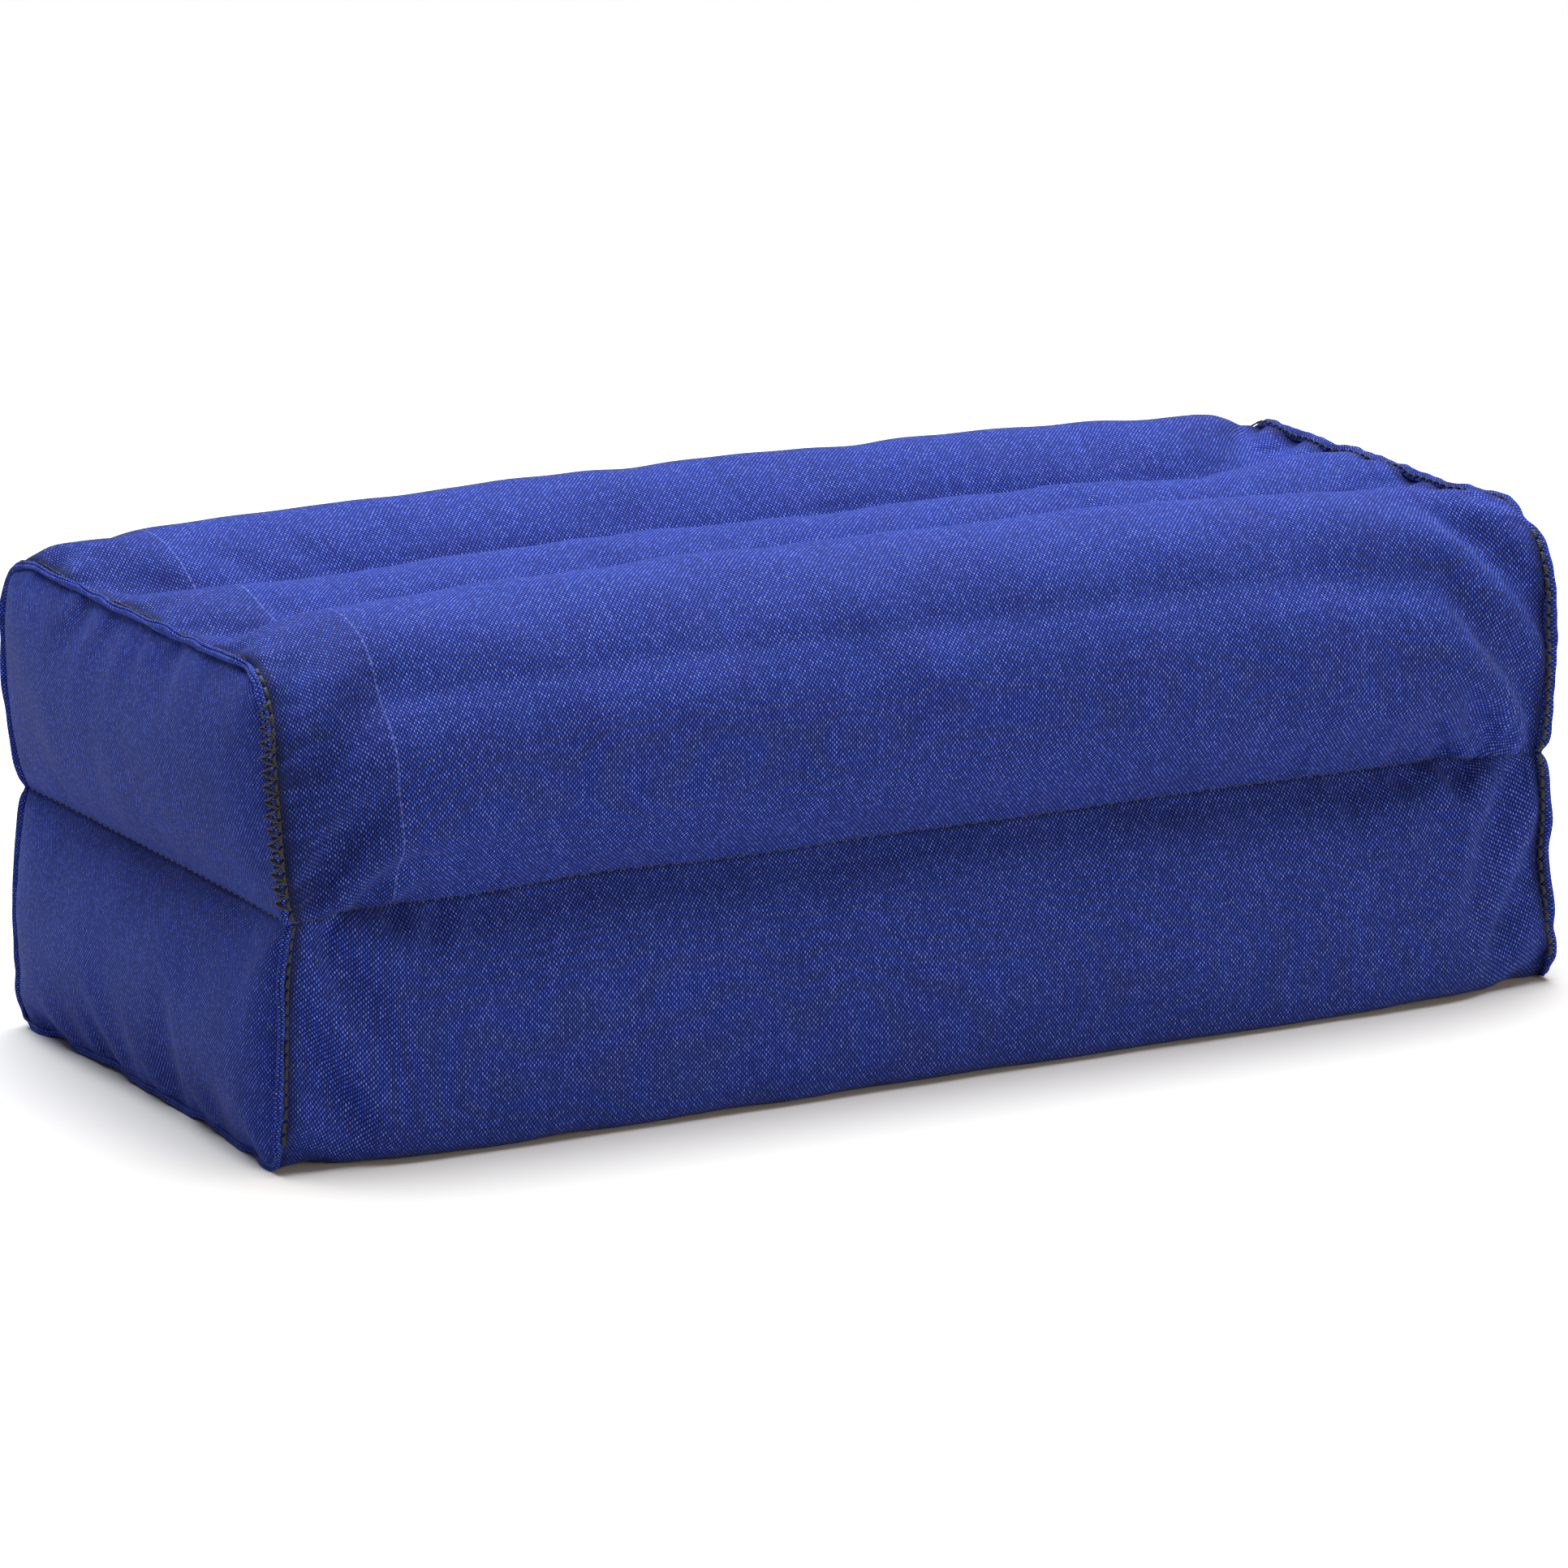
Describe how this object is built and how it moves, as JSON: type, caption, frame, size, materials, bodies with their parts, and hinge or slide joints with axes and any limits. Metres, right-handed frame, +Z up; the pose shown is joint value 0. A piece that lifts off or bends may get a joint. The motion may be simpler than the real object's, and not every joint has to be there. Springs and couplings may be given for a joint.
{
  "type": "block cushion",
  "caption": "Firm kapok-filled block cushion in blue cotton: stacked layers of long sewn channels with standing end seams, for sitting, kneeling or balancing on.",
  "frame": {"origin": "centre of the base, on the surface that the cushion stands on", "axes": "+X along the channels, the longest side; -Y is the front; +Z up, across the two layers"},
  "size_m": [0.35, 0.181, 0.124],
  "materials": {
    "cotton": "plain-weave cotton, royal blue with near-black gaps between the threads, soft sheen",
    "inner_cotton": "the same plain-weave cotton, inside",
    "seam_edge": "the same cotton folded double and sewn, slightly brighter on its worn fold",
    "kapok": "matted cream fibre",
    "thread": "twisted near-black sewing thread"
  },
  "bodies": {
    "root": {"upper_wrap": "cotton", "lower_wrap": "cotton", "upper_left_end": "cotton", "upper_right_end": "cotton", "lower_left_end": "cotton", "lower_right_end": "cotton", "waist_sheet": "inner_cotton", "upper_front_baffle": "inner_cotton", "upper_back_baffle": "inner_cotton", "lower_front_baffle": "inner_cotton", "lower_back_baffle": "inner_cotton", "upper_front_fill": "kapok", "upper_middle_fill": "kapok", "upper_back_fill": "kapok", "lower_front_fill": "kapok", "lower_middle_fill": "kapok", "lower_back_fill": "kapok", "upper_left_seam_edge": "seam_edge", "upper_right_seam_edge": "seam_edge", "lower_left_seam_edge": "seam_edge", "lower_right_seam_edge": "seam_edge", "upper_channel_stitches": "thread", "lower_channel_stitches": "thread", "waist_stitches": "thread", "left_end_stitches": "thread", "right_end_stitches": "thread", "closing_stitches": "thread"}
  },
  "joints": []
}
